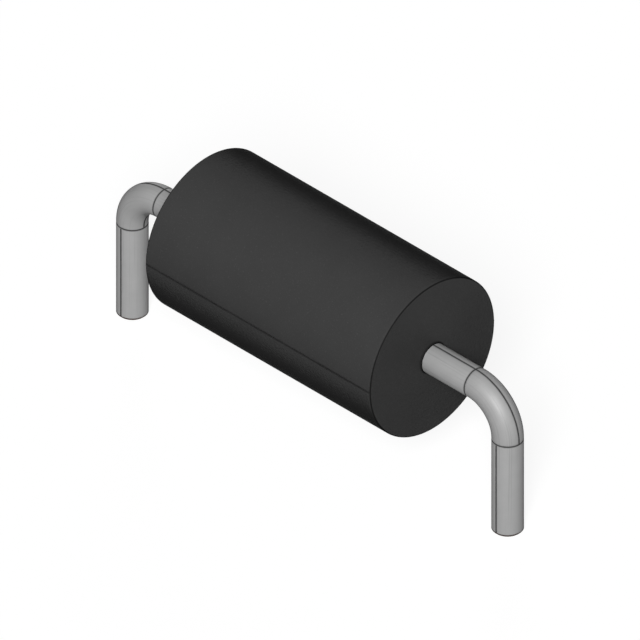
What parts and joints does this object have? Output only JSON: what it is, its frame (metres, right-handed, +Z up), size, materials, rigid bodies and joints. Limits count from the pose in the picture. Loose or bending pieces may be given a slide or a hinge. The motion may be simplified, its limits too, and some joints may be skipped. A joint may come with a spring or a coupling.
{
  "type": "axial rectifier diode",
  "caption": "Black cylindrical moulded rectifier with a round tinned wire leaving the centre of each end and bent down to stand in a board.",
  "frame": {"origin": "midway between the two leads, on the plane that the body rests on, which is the board's top face", "axes": "+X along the body from the cathode lead to the anode lead, +Z up and away from the board, +Y across the body towards the side with the gate mark"},
  "size_m": [0.0162, 0.0052, 0.007],
  "materials": {
    "epoxy": "black mould compound, finely eroded mould finish, faintly satin",
    "tinned_wire": "matte tin plate over drawn copper wire",
    "solder": "dull high-melting solder",
    "silicon": "lapped and etched silicon",
    "coating": "cured milky silicone"
  },
  "bodies": {
    "root": {"epoxy_body": "epoxy", "cathode_lead": "tinned_wire", "anode_lead": "tinned_wire", "cathode_solder": "solder", "anode_solder": "solder", "silicon_die": "silicon", "junction_coating": "coating"}
  },
  "joints": []
}
